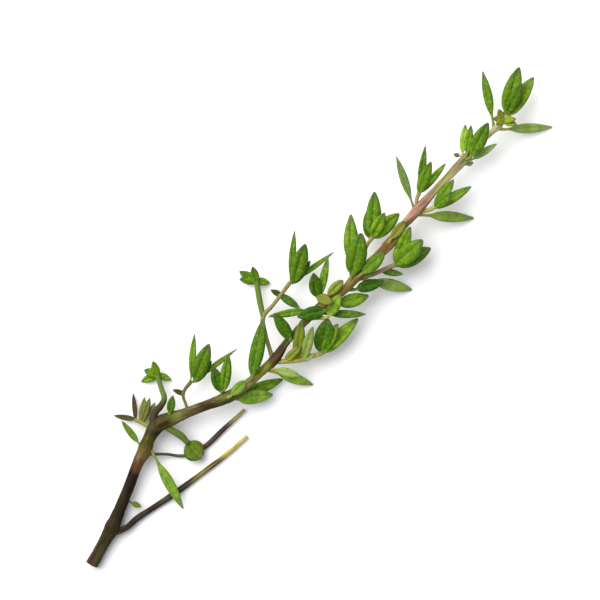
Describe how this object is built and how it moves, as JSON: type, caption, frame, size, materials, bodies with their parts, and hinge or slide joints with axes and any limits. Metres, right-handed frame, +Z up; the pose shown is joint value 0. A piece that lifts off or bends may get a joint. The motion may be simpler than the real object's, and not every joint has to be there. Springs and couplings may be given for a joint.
{
  "type": "thyme sprig",
  "caption": "Fresh cut thyme sprig lying flat: a kinked woody stem with whorls of small narrow leaves, side shoots, two bare twigs and a leafy growing tip.",
  "frame": {"origin": "middle of the sprig's footprint, on the surface it lies on", "axes": "+X from the cut end of the stem towards the growing tip, +Z up from the surface, +Y to the left of the stem seen from above"},
  "size_m": [0.121, 0.0268, 0.0106],
  "materials": {
    "stem_bark": "dull woody bark, dark at the cut end and olive tan towards the tip",
    "twig_bark": "dull dark bark of a bare twig",
    "leaf": "satin green leaf with a paler underside",
    "shoot": "satin bright green young leaves on a thin stalk",
    "withered_leaf": "dull olive brown dry leaf",
    "bud": "dull golden brown bud"
  },
  "bodies": {
    "root": {"fine_twig": "twig_bark", "growing_tip": "shoot", "leaf_stub": "leaf", "lower_twig": "twig_bark", "main_stem": "stem_bark", "whorl_0_left_leaf": "leaf", "whorl_0_right_leaf": "leaf", "whorl_1_left_shoot": "shoot", "whorl_1_right_shoot": "shoot", "whorl_1_top_leaf": "leaf", "whorl_2_left_pair": "shoot", "whorl_2_left_shoot": "shoot", "whorl_2_right_leaf": "leaf", "whorl_2_top_leaf": "leaf", "whorl_2_under_leaf": "leaf", "whorl_3_back_leaf": "leaf", "whorl_3_left_leaf": "leaf", "whorl_3_left_shoot": "shoot", "whorl_3_pale_leaf": "leaf", "whorl_3_right_leaf": "leaf", "whorl_3_right_shoot": "shoot", "whorl_4_across_leaf": "leaf", "whorl_4_dark_leaf": "leaf", "whorl_4_far_right_leaf": "leaf", "whorl_4_front_leaf": "leaf", "whorl_4_left_pair": "shoot", "whorl_4_right_leaf": "leaf", "whorl_4_top_leaf": "leaf", "whorl_5_broad_leaf": "leaf", "whorl_5_left_leaf": "leaf", "whorl_5_left_shoot": "shoot", "whorl_5_right_leaf": "leaf", "whorl_5_right_shoot": "shoot", "whorl_5_top_leaf": "leaf", "whorl_5_under_leaf": "leaf", "whorl_6_bud": "bud", "whorl_7_left_leaf": "leaf", "whorl_7_left_shoot": "shoot", "whorl_7_right_leaf": "leaf", "whorl_7_right_shoot": "shoot", "whorl_8_left_leaf": "leaf", "whorl_8_middle_leaf": "leaf", "whorl_8_right_leaf": "leaf", "whorl_8_small_leaf": "leaf", "whorl_8_top_leaf": "leaf", "whorl_8_under_leaf": "leaf", "whorl_9_left_leaf": "leaf", "whorl_9_right_leaf": "leaf", "withered_shoot": "withered_leaf"}
  },
  "joints": []
}
